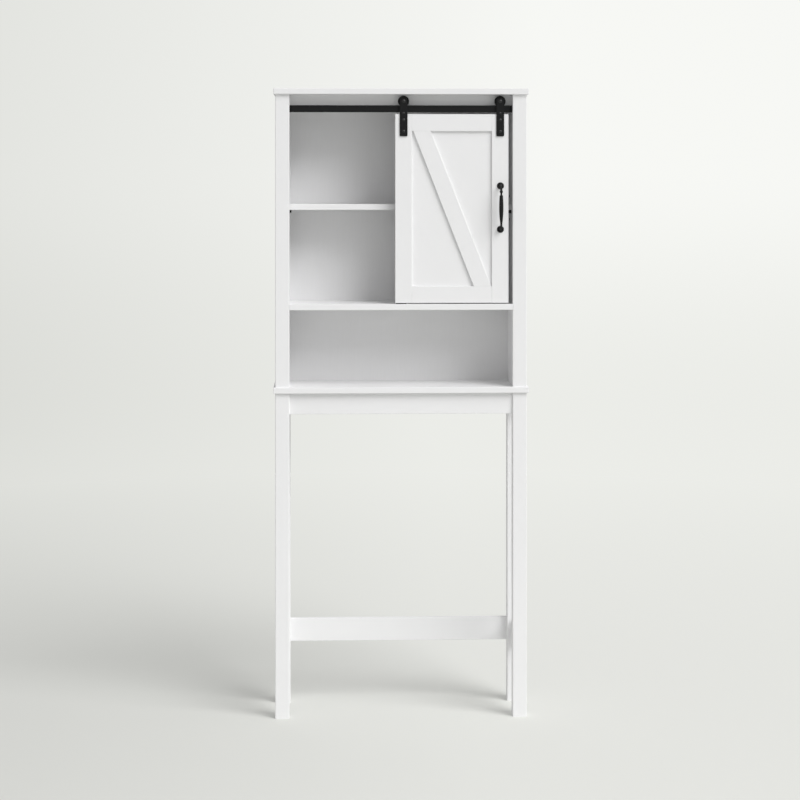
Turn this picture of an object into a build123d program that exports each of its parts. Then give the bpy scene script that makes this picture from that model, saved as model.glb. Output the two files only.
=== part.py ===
from build123d import *
import os
from math import asin, cos, sin

os.makedirs("parts", exist_ok=True)

# Over-the-toilet storage rack. Four legs carry a waist board, and on it stands a shelved
# cabinet with one small barn door that rolls along a flat bar track.
# Millimetres. X runs to the right, Y to the back and Z up from the floor. The origin is on
# the floor, under the middle of the rack's outline, pull included.

# Frame
outer_width = 680.0  # across the outer faces of the legs
frame_depth = 205.0  # front faces to back faces of the legs
total_height = 1700.0
leg_size = 38.0  # square section of the legs and the cabinet posts
waist_height = 877.0  # floor to the underside of the waist board
board_thickness = 16.0  # top board, waist board and both shelves
board_front_overhang = 7.5  # of the top and waist boards
board_side_overhang = 5.0
cubby_height = 208.0  # clear height of the open cubby
lower_bay_height = 254.0  # cabinet floor to the underside of the adjustable shelf
board_edge_radius = 1.5
leg_edge_radius = 2.0

# Aprons, lower rails and crossbar
rail_thickness = 15.0
rail_setback = 7.0  # behind the outer faces of the legs
apron_height = 56.7
lower_rail_height = 63.0
lower_rail_clearance = 167.0  # floor to the underside of the lower rails
rail_edge_radius = 1.0

# Cabinet walls
side_panel_thickness = 15.0
side_panel_setback = 4.0  # behind the inner faces of the front posts
tongue_thickness = 6.0
tongue_depth = 6.0
back_panel_thickness = 5.0
back_panel_inset = 3.0  # panel's back face to the posts' back faces
back_groove_depth = 5.0

# Joinery
dowel_radius = 4.0
dowel_length = 28.0
dowel_in_leg = 11.0
dowel_in_top = 10.0
rail_dowel_inset = 15.0  # from a rail's top and bottom edges
waist_bolt_radius = 3.0
waist_bolt_reach = 30.0  # into the leg below and the post above
bore_clearance = 0.1  # radial, round every dowel, bolt and screw
bore_end_clearance = 0.3
groove_clearance = 0.15  # on each face of a tongue or panel

# Adjustable shelf and its supports
shelf_end_gap = 0.9
shelf_back_gap = 1.0
shelf_front_gap = 24.0  # behind the back of the door
support_pitch = 32.0
support_rows = (-1, 0, 1)
support_inset = 24.0  # hole row to the nearest post
support_pin_radius = 2.4
support_pin_rise = 5.0  # above the underside of the shelf
support_sleeve_radius = 2.9
support_sleeve_length = 8.0
support_flange = 0.6  # end of a sleeve, proud of the side panel
support_flange_radius = 3.4
support_plate = 1.4
support_width = 10.0
support_head = 4.0  # plate above the pin's centre
support_ledge_length = 6.7
support_ledge = 1.2
support_web_drop = 9.0
support_web_tip = 6.5  # drop of the web at the tip of the ledge
support_web = 6.0
support_notch_gap = 0.3  # round the plate, in the notched end of the shelf

# Door
door_width = 307.0
door_thickness = 16.0
door_setback = 8.0  # behind the posts' front faces
door_rest_gap = 10.9  # door's right edge to the right post
door_head_gap = 5.0  # under the track
door_foot_gap = 3.0  # over the cabinet floor
stile_width = 45.0  # also the height of the bottom rail
top_rail_height = 46.0
door_panel_thickness = 5.5
door_panel_recess = 6.5
door_groove_depth = 6.0
door_tongue_gap = 0.3  # end of a tongue or panel to the groove's bottom
door_joint_gap = 0.12  # shoulders of a rail to the stiles
brace_run = 47.1  # width of the brace along the top rail
brace_corner_gaps = (3.6, 2.2)  # left of the brace at its top, right of it at its foot
door_edge_radius = 0.8

# Rollers and track
roller_radius = 14.9
tread_radius = 10.7
tread_clearance = 0.3
roller_width = 10.8
roller_edge_radius = 0.7
roller_headroom = 3.1  # under the top board
roller_side_play = 0.1
track_height = 19.0
track_thickness = 5.0
track_side_clearance = 0.5
track_bend_radius = 3.0  # inside of the end bends
track_tab_length = 19.0
track_screw_spread = 9.0
track_screw_tab_edge = 6.5  # screw centres to the end of the tab
track_edge_radius = 0.6

# Header rail behind the track
header_thickness = 15.0
header_height = 46.0
header_tab_gap = 0.5  # behind the ends of the track's tabs
header_dowel_spacing = 200.0
header_dowel_rows = (-1, 0, 1)

# Hanger straps and their fasteners
strap_width = 21.0
strap_thickness = 3.0
strap_drop = 60.0  # below the top of the door
strap_corner_radius = 3.0
strap_edge_radius = 0.4
strap_screw_drops = (16.0, 47.0)  # below the top of the door
strap_screw_depth = 12.0
axle_radius = 3.0
axle_running_clearance = 0.05
axle_head_radius = 6.0
axle_head_rim = 0.8
axle_head_rise = 2.6
axle_socket_radius = 2.0
axle_socket_depth = 1.8
axle_washer_radius = 5.5
axle_front_washer = 1.4
axle_rear_washer = 1.0
axle_nut_across = 10.0
axle_nut_height = 5.0
axle_tail = 1.0  # bolt end past the nut
stop_pin_radius = 2.0
stop_pin_head_radius = 3.6
stop_pin_overrun = 1.0  # past the back of the track
screw_radius = 2.0
screw_head_radius = 4.2
screw_head_rim = 0.6
screw_head_rise = 1.8
small_screw_radius = 1.6
small_screw_head_radius = 3.0
small_screw_head_rim = 0.5
small_screw_head_rise = 1.2
track_screw_depth = 15.0
drive_slot_length = 3.2
drive_slot_width = 0.9
drive_slot_depth = 1.1

# Pull
pull_rise = 2.5  # middle of the pull above the middle of the door
pull_edge_inset = 21.9  # door's right edge to the middle of the pull
pull_spacing = 117.8
pull_standoff = 27.2  # door face to the grip's axis
pull_foot_radius = 9.5
pull_foot_rim = 1.2
pull_foot_rise = 5.8
pull_neck_radius = 2.9
pull_bend_radius = 16.0
pull_bead_radius = 4.3
pull_waist_radius = 2.5
pull_collar_radius = 4.5
pull_grip_radius = 5.8
pull_waist_length = 10.0
pull_grip_peak = 33.5  # top of the grip down to its thickest place
pull_screw_engagement = 5.0
pull_screw_head = 2.2

# Floor guide
guide_length = 28.0
guide_base_width = 14.0
guide_base = 2.0
guide_tongue_length = 10.0
guide_tongue_thickness = 5.4
guide_tongue_lap = 7.0  # into the groove under the door
guide_side_clearance = 0.5
guide_groove_headroom = 2.0
guide_screw_inset = 4.5
guide_screw_depth = 10.0

# Wall fixing
wall_hole_spacing = 400.0
wall_hole_radius = 1.5
wall_hole_depth = 20.0

# Places worked out from the sizes above
outer_half = outer_width / 2
inner_half = outer_half - leg_size
wall_half = inner_half + side_panel_setback
pull_reach = pull_standoff + pull_grip_radius - door_setback
front_y = (max(pull_reach, board_front_overhang) - frame_depth) / 2
back_y = front_y + frame_depth
board_front_y = front_y - board_front_overhang
front_leg_y = (front_y, front_y + leg_size)
rear_leg_y = (back_y - leg_size, back_y)
leg_x = (inner_half, outer_half)
leg_centre_x = (inner_half + outer_half) / 2
front_leg_centre_y = sum(front_leg_y) / 2
rear_leg_centre_y = sum(rear_leg_y) / 2

waist_top = waist_height + board_thickness
cabinet_floor = waist_top + cubby_height
cabinet_floor_top = cabinet_floor + board_thickness
shelf_under = cabinet_floor_top + lower_bay_height
shelf_top = shelf_under + board_thickness
top_under = total_height - board_thickness
apron_z = (waist_height - apron_height, waist_height)
lower_rail_z = (lower_rail_clearance, lower_rail_clearance + lower_rail_height)
side_rail_x = (outer_half - rail_setback - rail_thickness, outer_half - rail_setback)
front_apron_y = (front_y + rail_setback, front_y + rail_setback + rail_thickness)
rear_bar_y = (back_y - rail_thickness, back_y)
between_legs_y = (front_leg_y[1], rear_leg_y[0])

back_panel_y = (back_y - back_panel_inset - back_panel_thickness, back_y - back_panel_inset)
back_groove_y = (back_panel_y[0] - groove_clearance, back_panel_y[1] + groove_clearance)
side_panel_x = (wall_half, wall_half + side_panel_thickness)
tongue_x = (
    wall_half + (side_panel_thickness - tongue_thickness) / 2,
    wall_half + (side_panel_thickness + tongue_thickness) / 2,
)

axle_z = top_under - roller_headroom - roller_radius
track_top = axle_z - tread_radius - tread_clearance
track_z = (track_top - track_height, track_top)
door_z = (cabinet_floor_top + door_foot_gap, track_z[0] - door_head_gap)
door_x = (inner_half - door_rest_gap - door_width, inner_half - door_rest_gap)
door_front = front_y + door_setback
door_y = (door_front, door_front + door_thickness)
door_centre_y = sum(door_y) / 2
door_panel_y = (
    door_front + door_panel_recess,
    door_front + door_panel_recess + door_panel_thickness,
)
door_groove_y = (door_panel_y[0] - groove_clearance, door_panel_y[1] + groove_clearance)
panel_opening_x = (door_x[0] + stile_width, door_x[1] - stile_width)
panel_opening_z = (door_z[0] + stile_width, door_z[1] - top_rail_height)
hanger_x = (door_x[0] + stile_width / 2, door_x[1] - stile_width / 2)
strap_y = (door_front - strap_thickness, door_front)
roller_front = door_front + axle_front_washer + roller_side_play
roller_y = (roller_front, roller_front + roller_width)
track_centre_y = sum(roller_y) / 2
track_y = (track_centre_y - track_thickness / 2, track_centre_y + track_thickness / 2)
tread_half = track_thickness / 2 + track_side_clearance
header_front = track_y[0] + track_tab_length + header_tab_gap
header_y = (header_front, header_front + header_thickness)
header_z = (top_under - header_height, top_under)
stop_pin_z = (door_z[1] + track_z[0]) / 2
pull_x = door_x[1] - pull_edge_inset
pull_centre_z = sum(door_z) / 2 + pull_rise
pull_foot_z = (pull_centre_z - pull_spacing / 2, pull_centre_z + pull_spacing / 2)
pull_foot_height = pull_foot_rim + pull_foot_rise
guide_groove_z = (door_z[0], door_z[0] + guide_tongue_lap + guide_groove_headroom)
shelf_y = (door_y[1] + shelf_front_gap, back_panel_y[0] - shelf_back_gap)
shelf_half = wall_half - shelf_end_gap
support_z = shelf_under + support_pin_rise
support_y = (between_legs_y[0] + support_inset, between_legs_y[1] - support_inset)
support_seat = wall_half - support_flange


def block(x_span, y_span, z_span):
    """A box between two limits on each axis."""
    spans = (x_span, y_span, z_span)
    sizes = [span[1] - span[0] for span in spans]
    middles = [(span[0] + span[1]) / 2 for span in spans]
    return Pos(*middles) * Box(*sizes)


def rod_x(x_span, y, z, radius):
    """A round rod along X."""
    return Pos(sum(x_span) / 2, y, z) * Rot(0, 90, 0) * Cylinder(radius, x_span[1] - x_span[0])


def rod_y(x, y_span, z, radius):
    """A round rod along Y."""
    return Pos(x, sum(y_span) / 2, z) * Rot(90, 0, 0) * Cylinder(radius, y_span[1] - y_span[0])


def rod_z(x, y, z_span, radius):
    """A round rod along Z."""
    return Pos(x, y, sum(z_span) / 2) * Cylinder(radius, z_span[1] - z_span[0])


def dome(radius, rim, rise):
    """A round head on the plane Z = 0: a short rim under a spherical cap."""
    ball = (radius**2 + rise**2) / (2 * rise)
    ball_centre = rim + rise - ball
    half_angle = asin(radius / ball) / 2
    shoulder = (radius, rim)
    crown = (0, rim + rise)
    flank = (ball * sin(half_angle), ball_centre + ball * cos(half_angle))
    outline = Polyline((0, rim + rise), (0, 0), (radius, 0), shoulder)
    outline += ThreePointArc(shoulder, flank, crown)
    return revolve(make_face(Plane.XZ * outline), Axis.Z)


def drive_cross(height):
    """The crossed slots that are cut into a screw head of this height."""
    slot_z = (height - drive_slot_depth, height + drive_slot_depth)
    reach = (-drive_slot_length / 2, drive_slot_length / 2)
    breadth = (-drive_slot_width / 2, drive_slot_width / 2)
    return block(reach, breadth, slot_z) + block(breadth, reach, slot_z)


def screw(radius, head_radius, rim, rise, length):
    """A round-head screw that points down -Z, with its head on the plane Z = 0."""
    head = dome(head_radius, rim, rise) - drive_cross(rim + rise)
    return head + rod_z(0, 0, (-length, 0), radius)


def facing_front(x, y, z, shape):
    """A shape made along +Z, turned so that its top faces the front."""
    return Pos(x, y, z) * Rot(90, 0, 0) * shape


def mirrored(shape):
    """The same shape on the other side of the rack."""
    return mirror(shape, about=Plane.YZ)


def soft_edges(shape, radius):
    """Every edge rounded by the same radius."""
    return fillet(shape.edges(), radius)


def save(name, shape):
    """One file for one named piece or group of like pieces."""
    export_step(shape, f"parts/{name}.step")


def save_group(name, shapes):
    """One file for a set of separate like pieces."""
    save(name, Compound(children=[shape.solid() for shape in shapes]))


def save_pair(name, right_shape):
    """A right-hand piece and its mirror image."""
    save(f"right_{name}", right_shape)
    save(f"left_{name}", mirrored(right_shape))


def both_sides(shapes):
    """The right-hand shapes, followed by their mirror images."""
    return list(shapes) + [mirrored(shape) for shape in shapes]


def dowel_heights(z_span):
    """Where the two dowels stand in the end of an apron or rail."""
    return (z_span[0] + rail_dowel_inset, z_span[1] - rail_dowel_inset)


def cross_dowels(bar_y, bar_z, spare=0.0, end_spare=0.0):
    """Dowels along X, between a cross bar's right end and the leg beside it."""
    x_span = (
        inner_half - dowel_length + dowel_in_leg - end_spare,
        inner_half + dowel_in_leg + end_spare,
    )
    return [rod_x(x_span, sum(bar_y) / 2, z, dowel_radius + spare) for z in dowel_heights(bar_z)]


def side_dowels(rail_z, spare=0.0, end_spare=0.0):
    """Dowels along Y, between a right side rail's ends and the legs it joins."""
    outside = dowel_in_leg + end_spare
    inside = dowel_length - dowel_in_leg + end_spare
    front_span = (between_legs_y[0] - outside, between_legs_y[0] + inside)
    rear_span = (between_legs_y[1] - inside, between_legs_y[1] + outside)
    x = sum(side_rail_x) / 2
    return [
        rod_y(x, y_span, z, dowel_radius + spare)
        for y_span in (front_span, rear_span)
        for z in dowel_heights(rail_z)
    ]


def floor_dowels(spare=0.0, end_spare=0.0):
    """Dowels along X, between the cabinet floor's right end and the posts."""
    z = (cabinet_floor + cabinet_floor_top) / 2
    dowels = []
    for face, y in ((inner_half, front_leg_centre_y), (wall_half, rear_leg_centre_y)):
        x_span = (
            face - dowel_length + dowel_in_leg - end_spare,
            face + dowel_in_leg + end_spare,
        )
        dowels.append(rod_x(x_span, y, z, dowel_radius + spare))
    return dowels


def top_joint_span(end_spare):
    """Lower and upper ends of the upright dowels that enter the top board."""
    dowel_top = top_under + dowel_in_top
    return (dowel_top - dowel_length - end_spare, dowel_top + end_spare)


def top_dowels(spare=0.0, end_spare=0.0):
    """Upright dowels between the right posts and the top board."""
    z_span = top_joint_span(end_spare)
    return [
        rod_z(leg_centre_x, y, z_span, dowel_radius + spare)
        for y in (front_leg_centre_y, rear_leg_centre_y)
    ]


def header_dowels(spare=0.0, end_spare=0.0):
    """Upright dowels between the header rail and the top board."""
    z_span = top_joint_span(end_spare)
    return [
        rod_z(row * header_dowel_spacing, sum(header_y) / 2, z_span, dowel_radius + spare)
        for row in header_dowel_rows
    ]


def waist_bolts(spare=0.0, end_spare=0.0):
    """Threaded rods from the right legs, through the waist board, into the posts."""
    z_span = (
        waist_height - waist_bolt_reach - end_spare,
        waist_top + waist_bolt_reach + end_spare,
    )
    return [
        rod_z(leg_centre_x, y, z_span, waist_bolt_radius + spare)
        for y in (front_leg_centre_y, rear_leg_centre_y)
    ]


def bored(make_rods, *arguments):
    """The holes that a set of dowels or bolts needs."""
    return make_rods(*arguments, bore_clearance, bore_end_clearance)


def square_post(y_span, z_span, x_span=leg_x):
    """A right-hand leg or post with its long edges rounded."""
    post = block(x_span, y_span, z_span)
    return fillet(post.edges().filter_by(Axis.Z), leg_edge_radius)


def make_legs():
    """Four legs, bored for the aprons, rails, crossbar and waist bolts."""
    holes = bored(waist_bolts)
    holes += bored(side_dowels, apron_z)
    holes += bored(side_dowels, lower_rail_z)
    front_holes = holes + bored(cross_dowels, front_apron_y, apron_z)
    rear_holes = holes + bored(cross_dowels, rear_bar_y, apron_z)
    rear_holes += bored(cross_dowels, rear_bar_y, lower_rail_z)
    save_pair("front_leg", square_post(front_leg_y, (0, waist_height)) - front_holes)
    save_pair("rear_leg", square_post(rear_leg_y, (0, waist_height)) - rear_holes)


def make_rails():
    """Aprons under the waist board, lower side rails and the rear crossbar."""
    cross_x = (-inner_half, inner_half)
    cross_bars = {
        "front_apron": (front_apron_y, apron_z),
        "rear_apron": (rear_bar_y, apron_z),
        "rear_crossbar": (rear_bar_y, lower_rail_z),
    }
    for name, (y_span, z_span) in cross_bars.items():
        bar = block(cross_x, y_span, z_span)
        bar = fillet(bar.edges().filter_by(Axis.X), rail_edge_radius)
        save(name, bar - both_sides(bored(cross_dowels, y_span, z_span)))
    for name, z_span in {"side_apron": apron_z, "side_rail": lower_rail_z}.items():
        rail = block(side_rail_x, between_legs_y, z_span)
        rail = fillet(rail.edges().filter_by(Axis.Y), rail_edge_radius)
        save_pair(name, rail - bored(side_dowels, z_span))


def make_joinery():
    """Wooden dowels and the threaded rods, as groups of like pieces."""
    aprons = cross_dowels(front_apron_y, apron_z) + cross_dowels(rear_bar_y, apron_z)
    save_group("apron_dowels", both_sides(aprons))
    save_group("side_apron_dowels", both_sides(side_dowels(apron_z)))
    save_group("side_rail_dowels", both_sides(side_dowels(lower_rail_z)))
    save_group("crossbar_dowels", both_sides(cross_dowels(rear_bar_y, lower_rail_z)))
    save_group("cabinet_floor_dowels", both_sides(floor_dowels()))
    save_group("top_dowels", both_sides(top_dowels()))
    save_group("header_dowels", header_dowels())
    save_group("waist_bolts", both_sides(waist_bolts()))


def back_groove(z_span):
    """The groove for the back panel's top or bottom edge."""
    reach = wall_half + back_groove_depth
    return block((-reach, reach), back_groove_y, z_span)


def make_boards():
    """Top board and waist board, bored, and grooved for the back panel."""
    board_half = outer_half + board_side_overhang
    board_x = (-board_half, board_half)
    board_y = (board_front_y, back_y)
    top = soft_edges(block(board_x, board_y, (top_under, total_height)), board_edge_radius)
    top -= both_sides(bored(top_dowels)) + bored(header_dowels)
    top -= back_groove((top_under, top_under + back_groove_depth))
    wall_hole_z = total_height - (board_thickness - back_groove_depth) / 2
    wall_hole_y = (back_y - wall_hole_depth, back_y)
    for side in (-1, 1):
        top -= rod_y(side * wall_hole_spacing / 2, wall_hole_y, wall_hole_z, wall_hole_radius)
    save("top_board", top)
    waist = soft_edges(block(board_x, board_y, (waist_height, waist_top)), board_edge_radius)
    waist -= both_sides(bored(waist_bolts))
    waist -= back_groove((waist_top - back_groove_depth, waist_top))
    save("waist_board", waist)


def track_screw_places():
    """Centres of the screws in the right-hand tab of the track."""
    y = track_y[0] + track_tab_length - track_screw_tab_edge
    middle = sum(track_z) / 2
    return [(y, middle + side * track_screw_spread / 2) for side in (-1, 1)]


def make_posts():
    """Four cabinet posts, grooved for the walls; the rear ones are level with the side panels."""
    post_z = (waist_top, top_under)
    groove_x = (tongue_x[0] - groove_clearance, tongue_x[1] + groove_clearance)
    groove_depth = tongue_depth + bore_end_clearance
    holes = bored(waist_bolts) + bored(top_dowels) + bored(floor_dowels)
    front = square_post(front_leg_y, post_z) - holes
    front -= block(groove_x, (front_leg_y[1] - groove_depth, front_leg_y[1]), post_z)
    pilot_x = (inner_half, inner_half + track_screw_depth + bore_end_clearance)
    for y, z in track_screw_places():
        front -= rod_x(pilot_x, y, z, small_screw_radius + bore_clearance)
    save_pair("front_post", front)
    rear = square_post(rear_leg_y, post_z, (wall_half, outer_half)) - holes
    rear -= block(groove_x, (rear_leg_y[0], rear_leg_y[0] + groove_depth), post_z)
    rear -= block((wall_half, wall_half + back_groove_depth), back_groove_y, post_z)
    save_pair("rear_post", rear)


def sleeve_places():
    """Places of the sleeved holes for shelf supports in a side panel."""
    return [(y, support_z + row * support_pitch) for y in support_y for row in support_rows]


def make_walls():
    """Side panels between the posts, and the back panel in its grooves."""
    wall_z = (waist_top, top_under)
    tongue_y = (between_legs_y[0] - tongue_depth, between_legs_y[1] + tongue_depth)
    side = block(side_panel_x, between_legs_y, wall_z) + block(tongue_x, tongue_y, wall_z)
    hole_x = (wall_half, wall_half + support_sleeve_length + bore_end_clearance)
    for y, z in sleeve_places():
        side -= rod_x(hole_x, y, z, support_sleeve_radius + bore_clearance)
    save_pair("side_panel", side)
    lap = back_groove_depth - groove_clearance
    panel_x = (-wall_half - lap, wall_half + lap)
    save("back_panel", block(panel_x, back_panel_y, (waist_top - lap, top_under + lap)))


def make_header():
    """The rail that hangs under the top board, behind the track."""
    rail = block((-inner_half, inner_half), header_y, header_z)
    low_edges = rail.edges().filter_by(Axis.X).group_by(Axis.Z)[0]
    rail = fillet(low_edges, rail_edge_radius)
    save("header_rail", rail - bored(header_dowels))


def make_cabinet_floor():
    """The fixed shelf under the door, notched round the front posts, and bored for the guide."""
    floor_z = (cabinet_floor, cabinet_floor_top)
    floor = block((-inner_half, inner_half), (front_y, back_panel_y[0]), floor_z)
    front_edges = floor.edges().filter_by(Axis.X).group_by(Axis.Y)[0]
    floor = fillet(front_edges, board_edge_radius)
    floor += block((-wall_half, wall_half), (front_leg_y[1], back_panel_y[0]), floor_z)
    floor -= both_sides(bored(floor_dowels))
    hole_z = (cabinet_floor_top - guide_screw_depth - bore_end_clearance, cabinet_floor_top)
    for x in guide_screw_places():
        floor -= rod_z(x, door_centre_y, hole_z, small_screw_radius + bore_clearance)
    save("cabinet_floor", floor)


def support_notches():
    """Room for the plates of the supports, in the right end of the shelf."""
    half = support_width / 2 + support_notch_gap
    notch_x = (support_seat - support_plate - support_notch_gap, wall_half)
    notch_z = (shelf_under, support_z + support_head + support_notch_gap)
    return [block(notch_x, (y - half, y + half), notch_z) for y in support_y]


def make_adjustable_shelf():
    """The loose shelf, notched for the plates of its supports."""
    shelf = block((-shelf_half, shelf_half), shelf_y, (shelf_under, shelf_top))
    shelf = soft_edges(shelf, board_edge_radius) - both_sides(support_notches())
    save("adjustable_shelf", shelf)


def make_shelf_supports():
    """Flanged sleeves in the side panels, and the four angled supports plugged into them."""
    flange_x = (support_seat, wall_half)
    sleeve_end = wall_half + support_sleeve_length
    sleeves = []
    for y, z in sleeve_places():
        sleeve = rod_x(flange_x, y, z, support_flange_radius)
        sleeve += rod_x((wall_half, sleeve_end), y, z, support_sleeve_radius)
        bore = rod_x((support_seat, sleeve_end), y, z, support_pin_radius + bore_clearance)
        sleeves.append(sleeve - bore)
    save_group("shelf_sleeves", both_sides(sleeves))
    plate_x = (support_seat - support_plate, support_seat)
    ledge_x = (support_seat - support_ledge_length, support_seat)
    ledge_z = (shelf_under - support_ledge, shelf_under)
    pin_x = (support_seat, sleeve_end - bore_end_clearance)
    supports = []
    for y in support_y:
        width = (y - support_width / 2, y + support_width / 2)
        support = block(plate_x, width, (ledge_z[0], support_z + support_head))
        support += block(ledge_x, width, ledge_z)
        corner = (support_seat, ledge_z[0])
        web_outline = Polyline(
            corner,
            (ledge_x[0], ledge_z[0]),
            (ledge_x[0], ledge_z[0] - support_web_tip),
            (plate_x[0], ledge_z[0] - support_web_drop),
            (support_seat, ledge_z[0] - support_web_drop),
            corner,
        )
        web_plane = Plane((0, y + support_web / 2, 0), x_dir=(1, 0, 0), z_dir=(0, -1, 0))
        support += extrude(web_plane * make_face(web_outline), support_web)
        support += rod_x(pin_x, y, support_z, support_pin_radius)
        supports.append(support)
    save_group("shelf_supports", both_sides(supports))


def guide_groove():
    """The groove under the door in which the floor guide's tongue runs."""
    half = guide_tongue_thickness / 2 + guide_side_clearance
    return block(door_x, (door_centre_y - half, door_centre_y + half), guide_groove_z)


def strap_screw_heights():
    """Heights of the screws that hold a hanger strap."""
    return [door_z[1] - drop for drop in strap_screw_drops]


def make_door_frame():
    """Stiles and rails of the door, grooved for the panel, and bored for the fittings."""
    reach = door_groove_depth - door_tongue_gap
    tongue_x_span = (panel_opening_x[0] - reach, panel_opening_x[1] + reach)
    rail_x = (panel_opening_x[0] + door_joint_gap, panel_opening_x[1] - door_joint_gap)
    stiles = {
        "door_left_stile": (door_x[0], panel_opening_x[0]),
        "door_right_stile": (panel_opening_x[1], door_x[1]),
    }
    groove = block(
        (panel_opening_x[0] - door_groove_depth, panel_opening_x[1] + door_groove_depth),
        door_groove_y,
        door_z,
    )
    pilot_y = (door_front, door_front + strap_screw_depth + bore_end_clearance)
    for name, x_span in stiles.items():
        stile = block(x_span, door_y, door_z)
        stile = fillet(stile.edges().filter_by(Axis.Z), door_edge_radius)
        stile -= groove
        stile -= guide_groove()
        for z in strap_screw_heights():
            stile -= rod_y(sum(x_span) / 2, pilot_y, z, screw_radius + bore_clearance)
        if x_span[1] == door_x[1]:
            for z in pull_foot_z:
                stile -= rod_y(pull_x, door_y, z, screw_radius + bore_clearance)
        save(name, stile)
    rails = {
        "door_bottom_rail": (door_z[0], panel_opening_z[0]),
        "door_top_rail": (panel_opening_z[1], door_z[1]),
    }
    panel_slot = block(
        panel_opening_x,
        door_groove_y,
        (panel_opening_z[0] - door_groove_depth, panel_opening_z[1] + door_groove_depth),
    )
    tongue_slot = block(
        tongue_x_span,
        door_groove_y,
        (panel_opening_z[0] - door_groove_depth, panel_opening_z[1] + door_groove_depth),
    )
    for name, z_span in rails.items():
        rail = block(rail_x, door_y, z_span)
        rail = fillet(rail.edges().filter_by(Axis.X), door_edge_radius)
        rail += block(tongue_x_span, door_panel_y, z_span) - tongue_slot
        rail -= panel_slot
        rail -= guide_groove()
        save(name, rail)


def make_door_panel():
    """The door's thin panel, and the diagonal brace laid on its face."""
    reach = door_groove_depth - door_tongue_gap
    panel_x = (panel_opening_x[0] - reach, panel_opening_x[1] + reach)
    panel_z = (panel_opening_z[0] - reach, panel_opening_z[1] + reach)
    save("door_panel", block(panel_x, door_panel_y, panel_z))
    top_left = panel_opening_x[0] + brace_corner_gaps[0]
    foot_right = panel_opening_x[1] - brace_corner_gaps[1]
    low, high = panel_opening_z
    outline = Polyline(
        (top_left, high),
        (top_left + brace_run, high),
        (foot_right, low),
        (foot_right - brace_run, low),
        (top_left, high),
    )
    face_plane = Plane((0, door_panel_y[0], 0), x_dir=(1, 0, 0), z_dir=(0, -1, 0))
    brace = extrude(face_plane * make_face(outline), door_panel_recess)
    front_edges = brace.faces().sort_by(Axis.Y)[0].edges()
    long_edges = front_edges.sort_by(SortBy.LENGTH)[-2:]
    save("door_brace", fillet(long_edges, door_edge_radius))


def make_straps():
    """Two flat hanger straps, round at the top where the roller's axle passes."""
    for name, x in zip(("left_hanger_strap", "right_hanger_strap"), hanger_x):
        half = strap_width / 2
        foot_z = door_z[1] - strap_drop
        body = block((x - half, x + half), strap_y, (foot_z, axle_z))
        low_edges = body.edges().filter_by(Axis.Y).group_by(Axis.Z)[0]
        body = fillet(low_edges, strap_corner_radius)
        strap = body + rod_y(x, strap_y, axle_z, half)
        rim = strap.faces().sort_by(Axis.Y)[0].outer_wire().edges()
        strap = fillet(rim, strap_edge_radius)
        strap -= rod_y(x, strap_y, axle_z, axle_radius + bore_clearance)
        strap -= rod_y(x, strap_y, stop_pin_z, stop_pin_radius + bore_clearance)
        for z in strap_screw_heights():
            strap -= rod_y(x, strap_y, z, screw_radius + bore_clearance)
        save(name, strap)


def make_rollers():
    """Two grooved rollers that ride on the top edge of the track."""
    tread_y = (track_centre_y - tread_half, track_centre_y + tread_half)
    for name, x in zip(("left_roller", "right_roller"), hanger_x):
        roller = rod_y(x, tread_y, axle_z, tread_radius)
        for flange_y in ((roller_y[0], tread_y[0]), (tread_y[1], roller_y[1])):
            flange = rod_y(x, flange_y, axle_z, roller_radius)
            roller += soft_edges(flange, roller_edge_radius)
        bore_radius = axle_radius + axle_running_clearance
        save(name, roller - rod_y(x, roller_y, axle_z, bore_radius))


def make_axles():
    """Axle bolts through straps and rollers, with their washers and lock nuts."""
    rear_washer_y = (
        roller_y[1] + roller_side_play,
        roller_y[1] + roller_side_play + axle_rear_washer,
    )
    nut_y = (rear_washer_y[1], rear_washer_y[1] + axle_nut_height)
    front_washer_y = (door_front, door_front + axle_front_washer)
    bolts = []
    washers = []
    nuts = []
    for x in hanger_x:
        height = axle_head_rim + axle_head_rise
        socket = Pos(0, 0, height - axle_socket_depth) * extrude(
            RegularPolygon(axle_socket_radius, 6), axle_socket_depth
        )
        head = dome(axle_head_radius, axle_head_rim, axle_head_rise) - socket
        shank = rod_y(x, (strap_y[0], nut_y[1] + axle_tail), axle_z, axle_radius)
        bolts.append(facing_front(x, strap_y[0], axle_z, head) + shank)
        bolt_hole = axle_radius + bore_clearance
        for washer_y in (front_washer_y, rear_washer_y):
            washer = rod_y(x, washer_y, axle_z, axle_washer_radius)
            washers.append(washer - rod_y(x, washer_y, axle_z, bolt_hole))
        hexagon = RegularPolygon(axle_nut_across / 2, 6, major_radius=False)
        nut = facing_front(x, nut_y[1], axle_z, extrude(hexagon, axle_nut_height))
        nuts.append(nut - rod_y(x, nut_y, axle_z, bolt_hole))
    save_group("axle_bolts", bolts)
    save_group("axle_washers", washers)
    save_group("axle_nuts", nuts)


def make_strap_fasteners():
    """Strap screws, and the stop pins under the track that keep the rollers on it."""
    pin_y = (strap_y[0], track_y[1] + stop_pin_overrun)
    pins = []
    screws = []
    for x in hanger_x:
        head = dome(stop_pin_head_radius, screw_head_rim, screw_head_rise)
        pin = facing_front(x, strap_y[0], stop_pin_z, head)
        pins.append(pin + rod_y(x, pin_y, stop_pin_z, stop_pin_radius))
        length = strap_thickness + strap_screw_depth
        shape = screw(screw_radius, screw_head_radius, screw_head_rim, screw_head_rise, length)
        for z in strap_screw_heights():
            screws.append(facing_front(x, strap_y[0], z, shape))
    save_group("stop_pins", pins)
    save_group("strap_screws", screws)


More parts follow.
